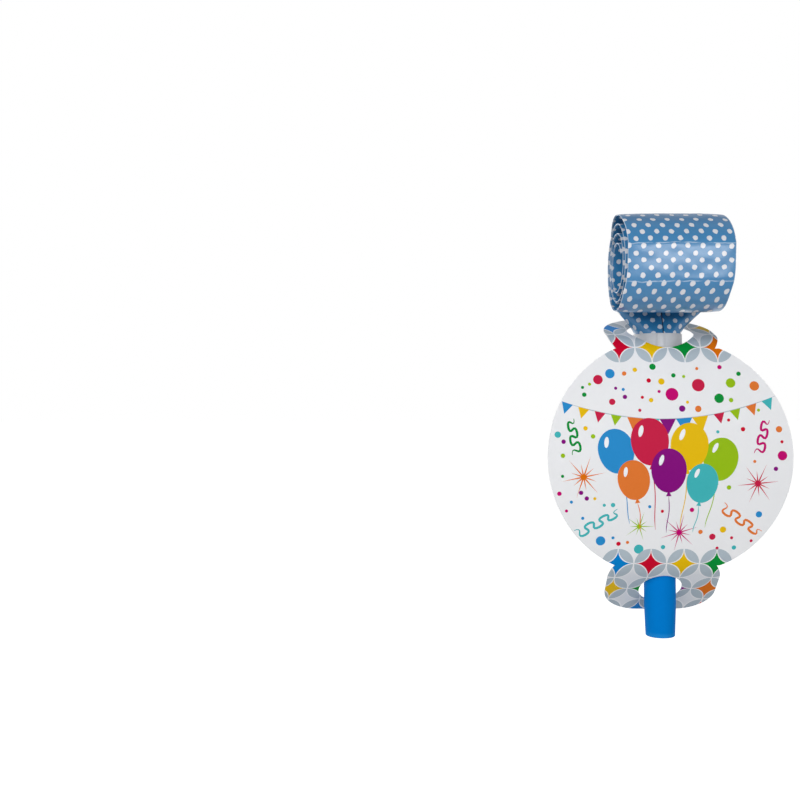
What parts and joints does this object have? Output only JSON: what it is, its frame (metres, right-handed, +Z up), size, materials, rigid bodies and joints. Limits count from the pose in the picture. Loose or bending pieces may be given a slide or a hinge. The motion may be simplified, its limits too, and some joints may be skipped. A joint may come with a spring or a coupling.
{
  "type": "party horn blower",
  "caption": "Party horn blower: blowing tube with a reed, a flattened paper tube that unrolls when blown and coils back, and a round bowed card held on the tube by holed tabs.",
  "frame": {"origin": "centre of the mouth opening, at the lower end of the blowing tube", "axes": "+Z up the blowing tube to the paper roll; the printed card and the roll are on the -Y side; +X to the right when facing the card"},
  "size_m": [0.0762, 0.047, 0.1329],
  "materials": {
    "tube_plastic": "moulded blue plastic, satin",
    "reed_plastic": "plain white plastic",
    "tongue_film": "thin plastic film",
    "collar_paper": "plain white paper",
    "dotted_paper": "glossy blue paper with small white dots",
    "card_board": null,
    "spring_steel": "thin flat wire"
  },
  "bodies": {
    "horn": {"blowing_tube": "tube_plastic", "reed_body": "reed_plastic", "reed_clip": "reed_plastic", "paper_collar": "collar_paper", "paper_neck": "dotted_paper", "recoil_spring": "spring_steel"},
    "tongue": {"reed_tongue": "tongue_film"},
    "card": {"printed_card": "card_board"},
    "coil_01": {"coil_length_01": "dotted_paper"},
    "coil_02": {"coil_length_02": "dotted_paper"},
    "coil_03": {"coil_length_03": "dotted_paper"},
    "coil_04": {"coil_length_04": "dotted_paper"},
    "coil_05": {"coil_length_05": "dotted_paper"},
    "coil_06": {"coil_length_06": "dotted_paper"},
    "coil_07": {"coil_length_07": "dotted_paper"},
    "coil_08": {"coil_length_08": "dotted_paper"},
    "coil_09": {"coil_length_09": "dotted_paper"},
    "coil_10": {"coil_length_10": "dotted_paper"},
    "coil_11": {"coil_length_11": "dotted_paper"},
    "coil_12": {"coil_length_12": "dotted_paper"},
    "coil_13": {"coil_length_13": "dotted_paper"},
    "coil_14": {"coil_length_14": "dotted_paper"},
    "coil_15": {"coil_length_15": "dotted_paper"},
    "coil_16": {"coil_length_16": "dotted_paper"},
    "coil_17": {"coil_length_17": "dotted_paper"},
    "coil_18": {"coil_length_18": "dotted_paper"},
    "coil_19": {"coil_length_19": "dotted_paper"},
    "coil_20": {"coil_length_20": "dotted_paper"},
    "coil_21": {"coil_length_21": "dotted_paper"},
    "coil_22": {"coil_length_22": "dotted_paper"},
    "coil_23": {"coil_length_23": "dotted_paper"},
    "coil_24": {"coil_length_24": "dotted_paper"},
    "coil_25": {"coil_length_25": "dotted_paper"},
    "coil_26": {"coil_length_26": "dotted_paper"},
    "coil_27": {"coil_length_27": "dotted_paper"}
  },
  "joints": [
    {"name": "unroll_01", "type": "hinge", "parent": "horn", "child": "coil_01", "pos_m": [0, -0.00076, 0.12307], "axis": [-1, 0, 0], "range_deg": [0, 45], "stiffness_Nm_per_rad": 0.02, "deforming": ["recoil_spring"]},
    {"name": "unroll_02", "type": "hinge", "parent": "coil_01", "child": "coil_02", "pos_m": [0, -0.00933, 0.13164], "axis": [-1, 0, 0], "range_deg": [0, 45], "stiffness_Nm_per_rad": 0.019259},
    {"name": "unroll_03", "type": "hinge", "parent": "coil_02", "child": "coil_03", "pos_m": [0, -0.02147, 0.13164], "axis": [-1, 0, 0], "range_deg": [0, 45], "stiffness_Nm_per_rad": 0.018519},
    {"name": "unroll_04", "type": "hinge", "parent": "coil_03", "child": "coil_04", "pos_m": [0, -0.02985, 0.12326], "axis": [-1, 0, 0], "range_deg": [0, 45], "stiffness_Nm_per_rad": 0.017778},
    {"name": "unroll_05", "type": "hinge", "parent": "coil_04", "child": "coil_05", "pos_m": [0, -0.02985, 0.11168], "axis": [-1, 0, 0], "range_deg": [0, 45], "stiffness_Nm_per_rad": 0.017037},
    {"name": "unroll_06", "type": "hinge", "parent": "coil_05", "child": "coil_06", "pos_m": [0, -0.02186, 0.10369], "axis": [-1, 0, 0], "range_deg": [0, 45], "stiffness_Nm_per_rad": 0.016296},
    {"name": "unroll_07", "type": "hinge", "parent": "coil_06", "child": "coil_07", "pos_m": [0, -0.01083, 0.10369], "axis": [-1, 0, 0], "range_deg": [0, 45], "stiffness_Nm_per_rad": 0.015556},
    {"name": "unroll_08", "type": "hinge", "parent": "coil_07", "child": "coil_08", "pos_m": [0, -0.00322, 0.11129], "axis": [-1, 0, 0], "range_deg": [0, 45], "stiffness_Nm_per_rad": 0.014815},
    {"name": "unroll_09", "type": "hinge", "parent": "coil_08", "child": "coil_09", "pos_m": [0, -0.00322, 0.12177], "axis": [-1, 0, 0], "range_deg": [0, 45], "stiffness_Nm_per_rad": 0.014074},
    {"name": "unroll_10", "type": "hinge", "parent": "coil_09", "child": "coil_10", "pos_m": [0, -0.01044, 0.12898], "axis": [-1, 0, 0], "range_deg": [0, 45], "stiffness_Nm_per_rad": 0.013333},
    {"name": "unroll_11", "type": "hinge", "parent": "coil_10", "child": "coil_11", "pos_m": [0, -0.02036, 0.12898], "axis": [-1, 0, 0], "range_deg": [0, 45], "stiffness_Nm_per_rad": 0.012593},
    {"name": "unroll_12", "type": "hinge", "parent": "coil_11", "child": "coil_12", "pos_m": [0, -0.02719, 0.12216], "axis": [-1, 0, 0], "range_deg": [0, 45], "stiffness_Nm_per_rad": 0.011852},
    {"name": "unroll_13", "type": "hinge", "parent": "coil_12", "child": "coil_13", "pos_m": [0, -0.02719, 0.11278], "axis": [-1, 0, 0], "range_deg": [0, 45], "stiffness_Nm_per_rad": 0.011111},
    {"name": "unroll_14", "type": "hinge", "parent": "coil_13", "child": "coil_14", "pos_m": [0, -0.02075, 0.10635], "axis": [-1, 0, 0], "range_deg": [0, 45], "stiffness_Nm_per_rad": 0.01037},
    {"name": "unroll_15", "type": "hinge", "parent": "coil_14", "child": "coil_15", "pos_m": [0, -0.01193, 0.10635], "axis": [-1, 0, 0], "range_deg": [0, 45], "stiffness_Nm_per_rad": 0.00963},
    {"name": "unroll_16", "type": "hinge", "parent": "coil_15", "child": "coil_16", "pos_m": [0, -0.00588, 0.11239], "axis": [-1, 0, 0], "range_deg": [0, 45], "stiffness_Nm_per_rad": 0.008889},
    {"name": "unroll_17", "type": "hinge", "parent": "coil_16", "child": "coil_17", "pos_m": [0, -0.00588, 0.12067], "axis": [-1, 0, 0], "range_deg": [0, 45], "stiffness_Nm_per_rad": 0.008148},
    {"name": "unroll_18", "type": "hinge", "parent": "coil_17", "child": "coil_18", "pos_m": [0, -0.01154, 0.12632], "axis": [-1, 0, 0], "range_deg": [0, 45], "stiffness_Nm_per_rad": 0.007407},
    {"name": "unroll_19", "type": "hinge", "parent": "coil_18", "child": "coil_19", "pos_m": [0, -0.01926, 0.12632], "axis": [-1, 0, 0], "range_deg": [0, 45], "stiffness_Nm_per_rad": 0.006667},
    {"name": "unroll_20", "type": "hinge", "parent": "coil_19", "child": "coil_20", "pos_m": [0, -0.02453, 0.12106], "axis": [-1, 0, 0], "range_deg": [0, 45], "stiffness_Nm_per_rad": 0.005926},
    {"name": "unroll_21", "type": "hinge", "parent": "coil_20", "child": "coil_21", "pos_m": [0, -0.02453, 0.11388], "axis": [-1, 0, 0], "range_deg": [0, 45], "stiffness_Nm_per_rad": 0.005185},
    {"name": "unroll_22", "type": "hinge", "parent": "coil_21", "child": "coil_22", "pos_m": [0, -0.01965, 0.10901], "axis": [-1, 0, 0], "range_deg": [0, 45], "stiffness_Nm_per_rad": 0.004444},
    {"name": "unroll_23", "type": "hinge", "parent": "coil_22", "child": "coil_23", "pos_m": [0, -0.01303, 0.10901], "axis": [-1, 0, 0], "range_deg": [0, 45], "stiffness_Nm_per_rad": 0.003704},
    {"name": "unroll_24", "type": "hinge", "parent": "coil_23", "child": "coil_24", "pos_m": [0, -0.00854, 0.11349], "axis": [-1, 0, 0], "range_deg": [0, 45], "stiffness_Nm_per_rad": 0.002963},
    {"name": "unroll_25", "type": "hinge", "parent": "coil_24", "child": "coil_25", "pos_m": [0, -0.00854, 0.11956], "axis": [-1, 0, 0], "range_deg": [0, 45], "stiffness_Nm_per_rad": 0.002222},
    {"name": "unroll_26", "type": "hinge", "parent": "coil_25", "child": "coil_26", "pos_m": [0, -0.01264, 0.12366], "axis": [-1, 0, 0], "range_deg": [0, 45], "stiffness_Nm_per_rad": 0.001481},
    {"name": "unroll_27", "type": "hinge", "parent": "coil_26", "child": "coil_27", "pos_m": [0, -0.01816, 0.12366], "axis": [-1, 0, 0], "range_deg": [0, 45], "stiffness_Nm_per_rad": 0.000741},
    {"name": "card_slide", "type": "slide", "parent": "horn", "child": "card", "axis": [0, 0, 1], "range_m": [-0.012, 0.002]},
    {"name": "tongue_flex", "type": "hinge", "parent": "horn", "child": "tongue", "pos_m": [0, -0.00025, 0.03345], "axis": [1, 0, 0], "range_deg": [0, 2], "stiffness_Nm_per_rad": 0.00002}
  ],
  "couplings": [
    {"joint": "unroll_02", "follows": "unroll_01", "ratio": 1},
    {"joint": "unroll_03", "follows": "unroll_01", "ratio": 1},
    {"joint": "unroll_04", "follows": "unroll_01", "ratio": 1},
    {"joint": "unroll_05", "follows": "unroll_01", "ratio": 1},
    {"joint": "unroll_06", "follows": "unroll_01", "ratio": 1},
    {"joint": "unroll_07", "follows": "unroll_01", "ratio": 1},
    {"joint": "unroll_08", "follows": "unroll_01", "ratio": 1},
    {"joint": "unroll_09", "follows": "unroll_01", "ratio": 1},
    {"joint": "unroll_10", "follows": "unroll_01", "ratio": 1},
    {"joint": "unroll_11", "follows": "unroll_01", "ratio": 1},
    {"joint": "unroll_12", "follows": "unroll_01", "ratio": 1},
    {"joint": "unroll_13", "follows": "unroll_01", "ratio": 1},
    {"joint": "unroll_14", "follows": "unroll_01", "ratio": 1},
    {"joint": "unroll_15", "follows": "unroll_01", "ratio": 1},
    {"joint": "unroll_16", "follows": "unroll_01", "ratio": 1},
    {"joint": "unroll_17", "follows": "unroll_01", "ratio": 1},
    {"joint": "unroll_18", "follows": "unroll_01", "ratio": 1},
    {"joint": "unroll_19", "follows": "unroll_01", "ratio": 1},
    {"joint": "unroll_20", "follows": "unroll_01", "ratio": 1},
    {"joint": "unroll_21", "follows": "unroll_01", "ratio": 1},
    {"joint": "unroll_22", "follows": "unroll_01", "ratio": 1},
    {"joint": "unroll_23", "follows": "unroll_01", "ratio": 1},
    {"joint": "unroll_24", "follows": "unroll_01", "ratio": 1},
    {"joint": "unroll_25", "follows": "unroll_01", "ratio": 1},
    {"joint": "unroll_26", "follows": "unroll_01", "ratio": 1},
    {"joint": "unroll_27", "follows": "unroll_01", "ratio": 1}
  ]
}
